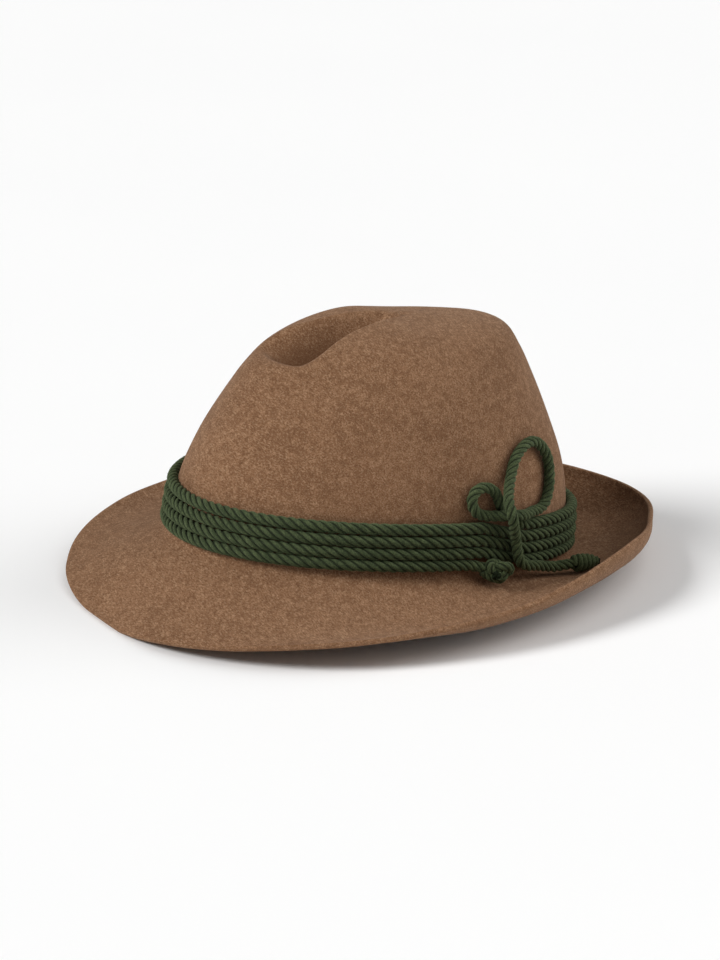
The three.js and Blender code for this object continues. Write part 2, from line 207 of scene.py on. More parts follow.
def wrap(angle):
    return np.arctan2(np.sin(angle), np.cos(angle))


def unit(vectors):
    return vectors / np.linalg.norm(vectors, axis=-1, keepdims=True)


def outward(surface, place, angle, first, last):
    """Direction straight out of a surface, from short steps on it that stay between two places."""
    step = 0.002
    up = surface(np.minimum(last, place + step), angle) - surface(np.maximum(first, place - step), angle)
    round_way = surface(place, wrap(angle + step)) - surface(place, wrap(angle - step))
    return unit(np.cross(round_way, up))


def felt_direction(place, angle):
    return outward(outside_point, place, angle, 0, LAST_DIRECTION)


def felt_point(place, angle, depth):
    """Point at a depth under the felt's outside."""
    return outside_point(place, angle) - depth * felt_direction(place, angle)


def turned(points, turn):
    x, y, z = points[..., 0], points[..., 1], points[..., 2]
    cosine, sine = math.cos(turn), math.sin(turn)
    return np.stack([x, cosine * y - sine * z, sine * y + cosine * z], -1)


def resting_place():
    """Turn, middle and floor that set the hat down as its solid lies."""
    places = np.concatenate([
        rounding_start * np.arange(SOLID_BRIM_ROWS + 1) / SOLID_BRIM_ROWS,
        [(rounding_start + rounding_end) / 2],
        rounding_end + (2 - rounding_end) * np.arange(SOLID_CROWN_ROWS) / SOLID_CROWN_ROWS,
    ])
    angles = wrap(np.radians(np.arange(SOLID_COLUMNS) * column_turn))
    place, angle = np.meshgrid(places, angles, indexing="ij")
    points = np.concatenate([felt_point(place, angle, depth).reshape(-1, 3) for depth in (FELT, 0)])
    turn = 0.0
    for _ in range(SETTLING_TURNS):
        height = turned(points, turn)[:, 2]
        front, back = points[:, 1] < 0, points[:, 1] > 0
        low_front = points[front][height[front].argmin()]
        low_back = points[back][height[back].argmin()]
        turn = -math.atan2(low_back[2] - low_front[2], low_back[1] - low_front[1])
    span = turned(points, turn)
    return turn, (span[:, 1].min() + span[:, 1].max()) / 2, span[:, 2].min() + REST_PRESS


rest_turn, rest_middle, rest_floor = resting_place()


def set_down(points):
    return turned(points, rest_turn) - np.array([0, rest_middle, rest_floor])


def unevenness(points):
    """Slow swell of hand-blocked felt, in millimetres along the surface's own direction."""
    x, y, z = points[..., 0], points[..., 1], points[..., 2]
    return UNEVENNESS * (
        np.sin(x / 17 + 1.3 * np.sin(y / 29)) * np.cos(y / 23 + z / 31)
        + 0.6 * np.sin(y / 11 - z / 13 + 2) * np.cos(x / 14 - 1)
        + 0.35 * np.sin(x / 6.1 + z / 7.3) * np.sin(y / 6.7 + 0.5)
    )


def skin(rings, joined=False):
    """Points and faces of a closed skin through rings. Open ends close at the middle of their ring."""
    sides = len(rings[0])
    count = len(rings)
    points = np.concatenate(rings)
    row, side = np.meshgrid(np.arange(count if joined else count - 1), np.arange(sides), indexing="ij")
    beyond, across = (row + 1) % count, (side + 1) % sides
    corners = [row * sides + side, row * sides + across, beyond * sides + across, beyond * sides + side]
    faces = np.stack(corners, -1).reshape(-1, 4).tolist()
    if not joined:
        for ring, offset, flip in ((rings[0], 0, False), (rings[-1], (count - 1) * sides, True)):
            points = np.vstack([points, ring.mean(0)])
            for place in range(sides):
                pair = [offset + place, offset + (place + 1) % sides]
                if flip:
                    pair.reverse()
                faces.append([len(points) - 1, pair[1], pair[0]])
    return points, faces


def piece(name, points, faces, material, smooth=True):
    """Object from points in millimetres, in the same frame as the solids."""
    mesh = bpy.data.meshes.new(name)
    mesh.from_pydata((np.asarray(points) / 1000).tolist(), [], faces)
    mesh.materials.append(material)
    mesh.polygons.foreach_set("use_smooth", [smooth] * len(mesh.polygons))
    mesh.update()
    made = bpy.data.objects.new(name, mesh)
    bpy.context.scene.collection.objects.link(made)
    return made


class Wire:
    """Output of a node. Arithmetic on it adds Math nodes to its tree."""

    def __init__(self, tree, socket=None):
        self.tree = tree
        self.socket = socket

    def node(self, kind, settings=None, inputs=None, output=0):
        """New node of a kind: its settings first, then the values or links of its sockets."""
        made = self.tree.nodes.new(kind)
        for name, value in (settings or {}).items():
            setattr(made, name, value)
        for key, value in (inputs or {}).items():
            if isinstance(value, Wire):
                self.tree.links.new(value.socket, made.inputs[key])
            else:
                made.inputs[key].default_value = value
        return Wire(self.tree, made.outputs[output] if len(made.outputs) else None)

    def other(self, output):
        """Another output of the same node."""
        return Wire(self.tree, self.socket.node.outputs[output])

    def math(self, operation, first, second=0.0):
        return self.node("ShaderNodeMath", {"operation": operation}, {0: first, 1: second})

    def mix(self, factor, first, second):
        inputs = {0: factor, 6: first, 7: second}
        return self.node("ShaderNodeMix", {"data_type": "RGBA"}, inputs, 2)

    def between(self, low, high):
        """0 up to low and 1 from high on, on a smooth step."""
        settings = {"interpolation_type": "SMOOTHSTEP"}
        return self.node("ShaderNodeMapRange", settings, {"Value": self, "From Min": low, "From Max": high})

    def __add__(self, value):
        return self.math("ADD", self, value)

    __radd__ = __add__

    def __mul__(self, value):
        return self.math("MULTIPLY", self, value)

    __rmul__ = __mul__


def new_material(name):
    """Empty node material and a wire to build it with."""
    made = bpy.data.materials.new(name)
    made.use_nodes = True
    made.node_tree.nodes.clear()
    return made, Wire(made.node_tree)


def finish_material(start, inputs):
    shader = start.node("ShaderNodeBsdfPrincipled", {}, inputs)
    start.node("ShaderNodeOutputMaterial", {}, {"Surface": shader})


felt, start = new_material("mottled_brown_felt")
place = start.node("ShaderNodeTexCoord", {}, {}, "Object")
fibres = []
for turn, seed in (((0.5, 0.2, 0.3), 3.1), ((1.4, 0.9, 2.1), 11.7), ((2.5, 1.9, 0.8), 23.3)):
    laid = start.node("ShaderNodeMapping", {}, {
        "Vector": place, "Location": (seed, seed / 2, seed / 3), "Rotation": turn, "Scale": FIBRE_SCALE})
    fibres.append(start.node("ShaderNodeTexNoise", {}, {
        "Vector": laid, "Scale": 1.0, "Detail": 2.0, "Roughness": 0.55, "Distortion": 0.3}))
light_fibres = start.math("MAXIMUM", fibres[0], fibres[1])
dark_fibres = start.math("MINIMUM", fibres[1], fibres[2])
grain = start.node("ShaderNodeTexNoise", {}, {
    "Vector": place, "Scale": 1700.0, "Detail": 2.0, "Roughness": 0.6})
cloud = start.node("ShaderNodeTexNoise", {}, {
    "Vector": place, "Scale": 260.0, "Detail": 3.0, "Roughness": 0.6})
wide = start.node("ShaderNodeTexNoise", {}, {
    "Vector": place, "Scale": 24.0, "Detail": 2.0, "Roughness": 0.5})
# Share of the crease's depth at each point, which sets the painted shade in the crease.
painted_crease_shade = start.node("ShaderNodeAttribute", {"attribute_name": "painted_crease_shade"}, {}, "Fac")
shade = start.mix(dark_fibres.between(0.48, 0.33) * 0.72, FELT_MID, FELT_DARK)
shade = start.mix((grain * 0.3 + cloud * 0.5 + wide * 0.3).between(0.6, 0.46) * 0.42, shade, FELT_DARK)
shade = start.mix((light_fibres + cloud * 0.22).between(0.64, 0.82) * 0.42, shade, FELT_LIGHT)
# Painted shade: the felt goes darker down into the crease, by the crease's depth, broken up a little by the
# cloud noise.
shade = start.mix((painted_crease_shade + cloud * 0.2).between(0.2, 0.95) * 0.75, shade, FELT_DARK)
nap = light_fibres * 0.6 + grain * 0.6 + cloud * 0.3
relief = start.node("ShaderNodeBump", {}, {"Strength": 0.5, "Distance": 0.0006, "Height": nap}, "Normal")
finish_material(start, {
    "Base Color": shade,
    "Roughness": 0.95,
    "Specular IOR Level": 0.15,
    "Sheen Weight": 0.12,
    "Sheen Roughness": 0.4,
    "Sheen Tint": (0.95, 0.75, 0.58, 1),
    "Normal": relief,
})


def felt_rings():
    """Inside and outside rings of the felt from the brim's edge to near the top's middle, and the share
    of the crease's depth at each point, which sets the painted shade in the crease."""
    places = np.concatenate([
        np.linspace(0, rounding_start, BRIM_ROWS, endpoint=False),
        np.linspace(rounding_start, rounding_end, FOOT_ROWS, endpoint=False),
        rounding_end + (LAST_RING - rounding_end) * np.linspace(0, 1, CROWN_ROWS),
    ])
    angles = wrap(np.arange(FELT_COLUMNS) * 2 * math.pi / FELT_COLUMNS)
    place, angle = np.meshgrid(places, angles, indexing="ij")
    outside = outside_point(place, angle)
    # Painted shade in the crease follows its depth, on the crown's outside only.
    painted_crease_shade = np.where(place > 1, crease_depth(outside[..., 0], outside[..., 1]) / CREASE_DEPTH, 0)
    direction = felt_direction(place, angle)
    outside = outside + direction * unevenness(outside)[..., None]
    inside = set_down(outside - direction * FELT)
    outside = set_down(outside)
    lift = np.maximum(0, -inside[..., 2])
    inside[..., 2] += lift
    outside[..., 2] += lift
    return inside, outside, painted_crease_shade


inside, outside, painted_crease_shade = felt_rings()
edge = []
for part in EDGE_PARTS:
    away = unit((inside[0] - inside[1]) + (outside[0] - outside[1]))
    middle = inside[0] * (1 - part) + outside[0] * part
    edge.append(middle + away * EDGE_ROUNDING * math.sin(math.pi * part) ** 0.5)
points, faces = skin([*inside[::-1], *edge, *outside])
hat = piece("felt_hat", points, faces, felt)
# Painted crease shade on the outside points; none on the inside or the cut edge.
crease_shade_per_point = np.zeros(len(points))
first = (len(inside) + len(edge)) * FELT_COLUMNS
crease_shade_per_point[first:first + painted_crease_shade.size] = painted_crease_shade.reshape(-1)
hat.data.attributes.new("painted_crease_shade", "FLOAT", "POINT").data.foreach_set("value", crease_shade_per_point.astype(np.float32))
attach(hat, "root")
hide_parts("felt_body")


# Sweatband: a strip of thin dark brown leather inside the crown's foot. Its two ends meet at the back in
# an upright seam between two rows of stitches, and a third row holds its lower edge to the felt.
SWEATBAND_FOOT = 4
SWEATBAND_HEIGHT = 36
BAND_COLUMNS = 240
BAND_ROWS = 18
SEAM_WIDTH = 2.2
SEAM_DEPTH = 0.5
STITCH_RISE = 2.6
STITCH_STEP = 3.4
STITCH_LENGTH = 2.5
STITCH_THREAD = 0.32
SEAM_STITCHES_OFF = 3.2
THREAD_PROUD = 0.4
HIGHEST_SHARE = 0.9
HALVINGS = 30
LEATHER_DARK = (0.075, 0.034, 0.016, 1)
LEATHER_LIGHT = (0.16, 0.078, 0.038, 1)
LEATHER_PORES = (0.04, 0.018, 0.009, 1)
THREAD_DARK = (0.1, 0.055, 0.03, 1)
THREAD_LIGHT = (0.22, 0.14, 0.085, 1)


def crown_share(height, angle):
    """Share of the crown, from its foot, whose outside lies at a height above the foot."""
    height, angle = np.broadcast_arrays(np.asarray(height, float), np.asarray(angle, float))
    low = height * 0
    high = low + HIGHEST_SHARE
    foot = crown_shape(low, angle)[..., 2]
    for _ in range(HALVINGS):
        middle = (low + high) / 2
        below = crown_shape(middle, angle)[..., 2] - foot < height
        low = np.where(below, middle, low)
        high = np.where(below, high, middle)
    return low


leather, start = new_material("dark_brown_leather")
place = start.node("ShaderNodeTexCoord", {}, {}, "Object")
pores = start.node("ShaderNodeTexVoronoi", {"feature": "DISTANCE_TO_EDGE"}, {"Vector": place, "Scale": 900.0})
tone = start.node("ShaderNodeTexNoise", {}, {
    "Vector": place, "Scale": 60.0, "Detail": 5.0, "Roughness": 0.6})
colour = start.mix(tone.between(0.35, 0.7), LEATHER_DARK, LEATHER_LIGHT)
colour = start.mix(pores.between(0.0, 0.12), LEATHER_PORES, colour)
relief = start.node("ShaderNodeBump", {}, {
    "Strength": 0.3, "Distance": 0.0003, "Height": pores.between(0.0, 0.2) + tone * 0.4}, "Normal")
finish_material(start, {
    "Base Color": colour,
    "Roughness": 0.34 + tone * 0.3,
    "Normal": relief,
})

heights = SWEATBAND_FOOT + SWEATBAND_HEIGHT * np.linspace(0, 1, BAND_ROWS)
angles = wrap(np.arange(BAND_COLUMNS) * 2 * math.pi / BAND_COLUMNS)
height, angle = np.meshgrid(heights, angles, indexing="ij")
share = 1 + crown_share(height, angle)
from_seam = (math.pi - np.abs(angle)) * felt_length
groove = SEAM_DEPTH * np.exp(-(from_seam / SEAM_WIDTH) ** 2)
outer = set_down(felt_point(share, angle, FELT + CLEARANCE))
inner_depth = FELT + CLEARANCE + LEATHER - groove
inner = set_down(felt_point(share, angle, inner_depth[..., None]))
points, faces = skin([*inner[::-1], *outer], joined=True)
band = piece("leather_sweatband", points, faces, leather)
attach(band, "root")
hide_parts("sweatband")


def thread_line(name, line):
    """Object of one chain of edges through points in millimetres."""
    mesh = bpy.data.meshes.new(name)
    edges = [(at, at + 1) for at in range(len(line) - 1)]
    mesh.from_pydata((np.asarray(line) / 1000).tolist(), edges, [])
    made = bpy.data.objects.new(name, mesh)
    bpy.context.scene.collection.objects.link(made)
    return made


def with_nodes(made, tree, values):
    """The object's mesh as a tree of geometry nodes makes it, with the modifier gone."""
    if made.name not in bpy.context.scene.collection.objects:
        bpy.context.scene.collection.objects.link(made)
    modifier = made.modifiers.new(tree.name, "NODES")
    modifier.node_group = tree
    for item in tree.interface.items_tree:
        if item.item_type == "SOCKET" and item.in_out == "INPUT" and item.name in values:
            modifier[item.identifier] = values[item.name]
    made.update_tag()
    graph = bpy.context.evaluated_depsgraph_get()
    mesh = bpy.data.meshes.new_from_object(
        made.evaluated_get(graph), preserve_all_data_layers=True, depsgraph=graph)
    made.modifiers.clear()
    made.data = mesh
    return made


def new_tree(name, sizes, result):
    """Tree of geometry nodes that takes a geometry, its named sizes and a material, and its inputs."""
    tree = bpy.data.node_groups.new(name, "GeometryNodeTree")
    for socket, kind in (("Given", "Geometry"), *sizes, ("Material", "Material")):
        tree.interface.new_socket(socket, in_out="INPUT", socket_type="NodeSocket" + kind)
    tree.interface.new_socket(result, in_out="OUTPUT", socket_type="NodeSocketGeometry")
    return Wire(tree).node("NodeGroupInput")


def finish_tree(given, made, result):
    made = given.node("GeometryNodeRealizeInstances", {}, {"Geometry": made})
    made = given.node("GeometryNodeSetMaterial", {}, {"Geometry": made, "Material": given.other("Material")})
    given.node("NodeGroupOutput", {}, {result: made})
    return given.tree


def stitch_row_tree():
    """Geometry nodes that sew a row of rounded stitches along a line, each in the line's direction."""
    given = new_tree("stitch_row", (("Step", "Float"), ("Length", "Float"), ("Thread", "Float")), "Stitches")
    line = given.node("GeometryNodeMeshToCurve", {}, {"Mesh": given})
    line = given.node("GeometryNodeResampleCurve", {"mode": "LENGTH"}, {
        "Curve": line, "Length": given.other("Step")})
    turn = given.node("FunctionNodeAlignRotationToVector", {"axis": "Z"}, {
        "Vector": given.node("GeometryNodeInputTangent")})
    thread = given.other("Thread")
    bead = given.node("GeometryNodeMeshUVSphere", {}, {"Segments": 8, "Rings": 6, "Radius": 1.0})
    size = given.node("ShaderNodeCombineXYZ", {}, {
        "X": thread, "Y": thread, "Z": given.other("Length") * 0.5})
    bead = given.node("GeometryNodeTransform", {}, {"Geometry": bead, "Scale": size})
    bead = given.node("GeometryNodeSetShadeSmooth", {}, {"Geometry": bead, "Shade Smooth": True})
    sewn = given.node("GeometryNodeInstanceOnPoints", {}, {
        "Points": line, "Instance": bead, "Rotation": turn})
    return finish_tree(given, sewn, "Stitches")


thread, start = new_material("waxed_brown_thread")
place = start.node("ShaderNodeTexCoord", {}, {}, "Object")
twist = start.node("ShaderNodeTexWave", {"bands_direction": "DIAGONAL"}, {
    "Vector": place, "Scale": 900.0, "Distortion": 1.5})
finish_material(start, {
    "Base Color": start.mix(twist, THREAD_DARK, THREAD_LIGHT),
    "Roughness": 0.55,
})


def band_line(height, angle):
    """Points just proud of the leather's inner side."""
    depth = FELT + CLEARANCE + LEATHER + STITCH_THREAD * THREAD_PROUD
    return set_down(felt_point(1 + crown_share(height, angle), angle, depth))


stitch_row = stitch_row_tree()
round_band = np.linspace(-math.pi, math.pi, BAND_COLUMNS + 1)[3:-3]
up_seam = np.linspace(STITCH_RISE, SWEATBAND_HEIGHT - STITCH_RISE / 2, BAND_ROWS) + SWEATBAND_FOOT
beside_seam = SEAM_STITCHES_OFF / felt_length
for name, height, angle in (
    ("edge_stitches", round_band * 0 + SWEATBAND_FOOT + STITCH_RISE, round_band),
    ("seam_stitches_left", up_seam, up_seam * 0 + math.pi - beside_seam),
    ("seam_stitches_right", up_seam, up_seam * 0 - math.pi + beside_seam),
):
    row = with_nodes(thread_line(name, band_line(height, angle)), stitch_row, {
        "Step": STITCH_STEP / 1000, "Length": STITCH_LENGTH / 1000, "Thread": STITCH_THREAD / 1000,
        "Material": thread})
    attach(row, "root")


# Cord: one length of dark green wool cord, four soft strands laid together, wound four rounds round the
# crown's foot and bent to a small loop, a tall loop and a strand that crosses the rounds. It is held by
# its own knots. Its strands follow the same route as the solid's round tube.
CORD_DIAMETER = 5.3
CORD_ROUNDS = 4
CORD_FOOT = 6.2
ROUND_GAP = 0.5
BOW_ANGLE = 105
STRANDS = 4
STRAND_RADIUS = 1.22
LAY_RADIUS = 1.66
BOW_THINNING = 0.94
ROUNDS_FULLNESS = 1.04
ROUNDS_LAY = 20
BOW_LAY = 15
STRAND_SIDES = 8
STRAND_STEP = 1.15
LAY_CHANGE = 30
LINE_STEPS = 16
POINTS_A_COLUMN = 3
FUZZ_FOR_A_SQUARE_METRE = 400000
FUZZ_LENGTH = 1.1
FUZZ_RADIUS = 0.04
FUZZ_SEED = 7
FUZZ_LEAN = 0.9
DEEP_GREEN = (0.01, 0.016, 0.006, 1)
MID_GREEN = (0.04, 0.057, 0.023, 1)
LIGHT_GREEN = (0.11, 0.138, 0.06, 1)

start_route = [(97, 0.92, 1.11), (94, 1.11, 0.64)]
bow_route = [
    (109.2, 4.89, 0.62), (106, 5.7, 0.62), (103, 6.36, 0.62), (102.2, 7.13, 0.62), (100.7, 7.72, 0.62),
    (97.9, 8.02, 0.62), (94.8, 7.72, 0.62), (93.4, 6.79, 0.62), (94.8, 5.89, 0.64), (98.1, 5.54, 0.7),
    (100.8, 5.52, 1.02), (103.2, 5.53, 1.66), (106.6, 5.53, 1.75), (110.4, 5.44, 1.36), (114.4, 5.53, 0.87),
    (119.6, 5.66, 0.63), (122.4, 6.08, 0.62), (124.6, 6.91, 0.62), (127, 8.23, 0.62), (128.4, 9.81, 0.62),
    (126.4, 11.02, 0.62), (122, 11.53, 0.62), (116.6, 11.23, 0.62), (111.2, 10.19, 0.62), (107.7, 8.79, 0.72),
    (104, 7.51, 1.51), (101.6, 6.58, 2.45), (101.6, 5.66, 2.85), (103.6, 4.49, 2.3), (105.8, 3.4, 1.7),
    (106.8, 2.26, 1.64), (107.8, 1.34, 1.68), (110.3, 0.9, 1.74), (113.8, 0.77, 1.7), (117.8, 0.55, 1.77),
    (121.4, 0.42, 2.08), (124, 0.55, 2.6), (126, 0.64, 3.09),
]


def route_points(route):
    """Points of a route: its angle from the front, and height and stand-off in diameters of the cord."""
    angle, height, off = np.array(route, float).T
    angle = wrap(np.radians(angle))
    share = crown_share(height * CORD_DIAMETER, angle)
    off = off * CORD_DIAMETER
    return crown_shape(share, angle) + off[:, None] * outward(crown_shape, share, angle, 0, 1)


def smooth_line(points, steps=LINE_STEPS):
    """Rounded line through points, closer spaced where they lie closer together."""
    points = np.asarray(points, float)
    padded = np.vstack([2 * points[0] - points[1], points, 2 * points[-1] - points[-2]])
    line = []
    for before, first, second, after in zip(padded, padded[1:], padded[2:], padded[3:]):
        gap_in, gap, gap_out = (
            np.sqrt(np.linalg.norm(step)) for step in (first - before, second - first, after - second))
        leave = (first - before) / gap_in - (second - before) / (gap_in + gap) + (second - first) / gap
        arrive = (second - first) / gap - (after - first) / (gap + gap_out) + (after - second) / gap_out
        leave, arrive = leave * gap, arrive * gap
        part = (np.arange(steps) / steps)[:, None]
        line.append(
            first + leave * part + (3 * (second - first) - 2 * leave - arrive) * part ** 2
            + (2 * (first - second) + leave + arrive) * part ** 3)
    return np.vstack([*line, points[-1:]])


def rounds_route():
    """The wound part, each round at its own height, climbing behind the strand that crosses them."""
    first = BOW_ANGLE - 2 * column_turn
    last = BOW_ANGLE + column_turn - 360 * CORD_ROUNDS
    columns = int(round((first - last) / column_turn))
    angle = np.linspace(first, last, columns * POINTS_A_COLUMN + 1)
    passed = (BOW_ANGLE + column_turn - angle) / 360
    climbed = np.minimum(1, (passed % 1) * 360 / (2 * column_turn))
    level = np.minimum(np.maximum(0, np.floor(passed) - 1 + climbed), CORD_ROUNDS - 1)
    height = CORD_FOOT + (CORD_DIAMETER + ROUND_GAP) * level
    return np.stack([angle, height / CORD_DIAMETER, angle * 0 + 0.5 + CLEARANCE / CORD_DIAMETER], -1)


def lengths(line):
    return np.concatenate([[0], np.cumsum(np.linalg.norm(np.diff(line, axis=0), axis=1))])


rounds = route_points(rounds_route())
lead_in = smooth_line([*route_points(start_route), *rounds[:2]])[:-LINE_STEPS - 1]
bow = smooth_line([rounds[-2], rounds[-1], *route_points(bow_route)])[LINE_STEPS + 1:]
cord_line = np.vstack([lead_in, rounds, bow])
wound_from, wound_to = lengths(cord_line)[[len(lead_in), len(lead_in) + len(rounds)]]

yarn, start = new_material("dark_green_wool_yarn")
place = start.node("ShaderNodeTexCoord", {}, {}, "Object")
around = start.node("ShaderNodeAttribute", {"attribute_name": "around"}, {}, "Vector")
along = start.node("ShaderNodeAttribute", {"attribute_name": "along"}, {}, "Fac")
spun = start.node("ShaderNodeVectorRotate", {"rotation_type": "Z_AXIS"}, {
    "Vector": around, "Angle": along * -0.55})
drawn = start.node("ShaderNodeVectorMath", {"operation": "ADD"}, {
    0: spun, 1: start.node("ShaderNodeCombineXYZ", {}, {"Z": along * 0.1})})
filaments = start.node("ShaderNodeTexNoise", {}, {
    "Vector": drawn, "Scale": 4.2, "Detail": 3.0, "Roughness": 0.62})
fluff = start.node("ShaderNodeTexNoise", {}, {
    "Vector": place, "Scale": 1700.0, "Detail": 3.0, "Roughness": 0.7})
patch = start.node("ShaderNodeTexNoise", {}, {
    "Vector": place, "Scale": 190.0, "Detail": 3.0, "Roughness": 0.6})
# How far each strand face turns out from the cord's middle, for the painted shade in the grooves.
groove_shade_facing = start.node("ShaderNodeAttribute", {"attribute_name": "groove_shade_facing"}, {}, "Fac")
colour = start.mix((filaments * 0.7 + fluff * 0.3).between(0.3, 0.56), DEEP_GREEN, MID_GREEN)
pale = (filaments * 0.5 + fluff * 0.5 + patch * 0.3).between(0.56, 0.82)
colour = start.mix(pale * 0.7, colour, LIGHT_GREEN)
# Painted shade: deep green on the strand faces that turn in towards the cord's middle, in the grooves between
# strands.
colour = start.mix(groove_shade_facing.between(0.8, 0.2) * 0.9, colour, DEEP_GREEN)
relief = start.node("ShaderNodeBump", {}, {
    "Strength": 0.6, "Distance": 0.0004, "Height": filaments + fluff * 0.6}, "Normal")
finish_material(start, {
    "Base Color": colour,
    "Roughness": 0.92,
    "Specular IOR Level": 0.2,
    "Sheen Weight": 0.12,
    "Sheen Roughness": 0.5,
    "Sheen Tint": (0.7, 0.85, 0.5, 1),
    "Normal": relief,
})


def laid_strands_tree():
    """Geometry nodes that lay strands round a line: each goes round it by the line's own lay angle."""
    given = new_tree("laid_strands", (
        ("Strands", "Int"), ("Strand Radius", "Float"), ("Lay Radius", "Float"), ("Step", "Float"),
        ("Sides", "Int")), "Laid")
    line = given.node("GeometryNodeMeshToCurve", {}, {"Mesh": given})
    line = given.node("GeometryNodeResampleCurve", {"mode": "LENGTH"}, {
        "Curve": line, "Length": given.other("Step")})
    copies = given.node("GeometryNodeDuplicateElements", {"domain": "SPLINE"}, {
        "Geometry": line, "Amount": given.other("Strands")})
    lay = given.node("GeometryNodeInputNamedAttribute", {"data_type": "FLOAT"}, {"Name": "lay"})
    share = given.math("DIVIDE", copies.other("Duplicate Index"), given.other("Strands"))
    turn = lay + share * (2 * math.pi)
    thick = given.node("GeometryNodeInputNamedAttribute", {"data_type": "FLOAT"}, {"Name": "thick"})
    normal = given.node("GeometryNodeInputNormal", {}, {}, "Normal")
    tangent = given.node("GeometryNodeInputTangent")
    side = given.node("ShaderNodeVectorMath", {"operation": "CROSS_PRODUCT"}, {0: tangent, 1: normal})

    def scaled(vector, factor):
        return given.node("ShaderNodeVectorMath", {"operation": "SCALE"}, {0: vector, "Scale": factor})

    away = given.node("ShaderNodeVectorMath", {"operation": "ADD"}, {
        0: scaled(normal, given.math("COSINE", turn)), 1: scaled(side, given.math("SINE", turn))})
    vector = {"data_type": "FLOAT_VECTOR", "domain": "POINT"}
    number = {"data_type": "FLOAT", "domain": "POINT"}
    copies = given.node("GeometryNodeStoreNamedAttribute", vector, {
        "Geometry": copies, "Name": "away", "Value": away})
    away = given.node("GeometryNodeInputNamedAttribute", {"data_type": "FLOAT_VECTOR"}, {"Name": "away"})
    moved = given.node("GeometryNodeSetPosition", {}, {
        "Geometry": copies, "Offset": scaled(away, given.other("Lay Radius") * thick)})
    moved = given.node("GeometryNodeSetCurveRadius", {}, {"Curve": moved, "Radius": thick})
    passed = given.node("GeometryNodeSplineParameter", {}, {}, "Length")
    moved = given.node("GeometryNodeStoreNamedAttribute", number, {
        "Geometry": moved, "Name": "along", "Value": passed * 1000})
    ring = given.node("GeometryNodeCurvePrimitiveCircle", {}, {
        "Resolution": given.other("Sides"), "Radius": given.other("Strand Radius")})
    place = given.node("GeometryNodeInputPosition")
    ring = given.node("GeometryNodeStoreNamedAttribute", vector, {
        "Geometry": ring, "Name": "around",
        "Value": given.node("ShaderNodeVectorMath", {"operation": "NORMALIZE"}, {0: place})})
    tube = given.node("GeometryNodeCurveToMesh", {}, {
        "Curve": moved, "Profile Curve": ring, "Fill Caps": True})
    # How far each face of a strand turns out from the cord's middle, for the yarn's painted shade in the
    # grooves; a lone strand gets none.
    groove_shade_facing = given.node("ShaderNodeVectorMath", {"operation": "DOT_PRODUCT"}, {
        0: given.node("GeometryNodeInputNormal", {}, {}, "Normal"), 1: away}, "Value")
    alone = given.math("LESS_THAN", given.other("Lay Radius"), 0.00001)
    tube = given.node("GeometryNodeStoreNamedAttribute", number, {
        "Geometry": tube, "Name": "groove_shade_facing", "Value": given.math("MAXIMUM", groove_shade_facing, alone)})
    tube = given.node("GeometryNodeSetShadeSmooth", {}, {"Geometry": tube, "Shade Smooth": True})
    return finish_tree(given, tube, "Laid")


laid_strands = laid_strands_tree()


def laid_cord(name, line, lay, thick, strands, strand_radius, lay_radius, material=yarn):
    """Strands laid round a line of points in mm, with the lay angle and the thickness at each point."""
    line = set_down(np.asarray(line))
    made = thread_line(name, line)
    for kind, values in (("lay", lay), ("thick", thick + np.zeros(len(line)))):
        stored = made.data.attributes.new(kind, "FLOAT", "POINT").data
        stored.foreach_set("value", np.asarray(values, np.float32))
    return with_nodes(made, laid_strands, {
        "Strands": strands, "Strand Radius": strand_radius / 1000, "Lay Radius": lay_radius / 1000,
        "Step": STRAND_STEP / 1000, "Sides": STRAND_SIDES, "Material": material})


passed = lengths(cord_line)
wound = np.clip((passed - wound_from) / LAY_CHANGE + 0.5, 0, 1)
wound = wound * np.clip((wound_to - passed) / LAY_CHANGE + 0.5, 0, 1)
lay_length = BOW_LAY + (ROUNDS_LAY - BOW_LAY) * wound
mean_lay = (lay_length[1:] + lay_length[:-1]) / 2
lay = np.concatenate([[0], np.cumsum(np.diff(passed) * 2 * math.pi / mean_lay)])
thick = BOW_THINNING + (ROUNDS_FULLNESS - BOW_THINNING) * wound
cord = laid_cord("twisted_cord", cord_line, lay, thick, STRANDS, STRAND_RADIUS, LAY_RADIUS)
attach(cord, "root")
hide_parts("cord")


def short_fibres_tree():
    """Geometry nodes that set thin, tapered fibres all over a mesh, each leaning its own way."""
    given = new_tree("short_fibres", (
        ("Density", "Float"), ("Length", "Float"), ("Radius", "Float"), ("Seed", "Int")), "Fibres")
    seed = given.other("Seed")
    roots = given.node("GeometryNodeDistributePointsOnFaces", {}, {
        "Mesh": given, "Density": given.other("Density"), "Seed": seed})
    lean = given.node("FunctionNodeRandomValue", {"data_type": "FLOAT_VECTOR"}, {
        0: (-FUZZ_LEAN, -FUZZ_LEAN, -FUZZ_LEAN), 1: (FUZZ_LEAN, FUZZ_LEAN, FUZZ_LEAN), "Seed": seed})
    way = given.node("ShaderNodeVectorMath", {"operation": "ADD"}, {0: roots.other("Normal"), 1: lean})
    turn = given.node("FunctionNodeAlignRotationToVector", {"axis": "Z"}, {"Vector": way})
    size = given.node("FunctionNodeRandomValue", {"data_type": "FLOAT"}, {2: 0.4, 3: 1.2, "Seed": seed}, 1)
    fibre = given.node("GeometryNodeMeshCone", {"fill_type": "NGON"}, {
        "Vertices": 3, "Side Segments": 1, "Radius Top": 0.0, "Radius Bottom": given.other("Radius"),
        "Depth": given.other("Length")})
    placed = given.node("GeometryNodeInstanceOnPoints", {}, {
        "Points": roots, "Instance": fibre, "Rotation": turn, "Scale": size})
    return finish_tree(given, placed, "Fibres")


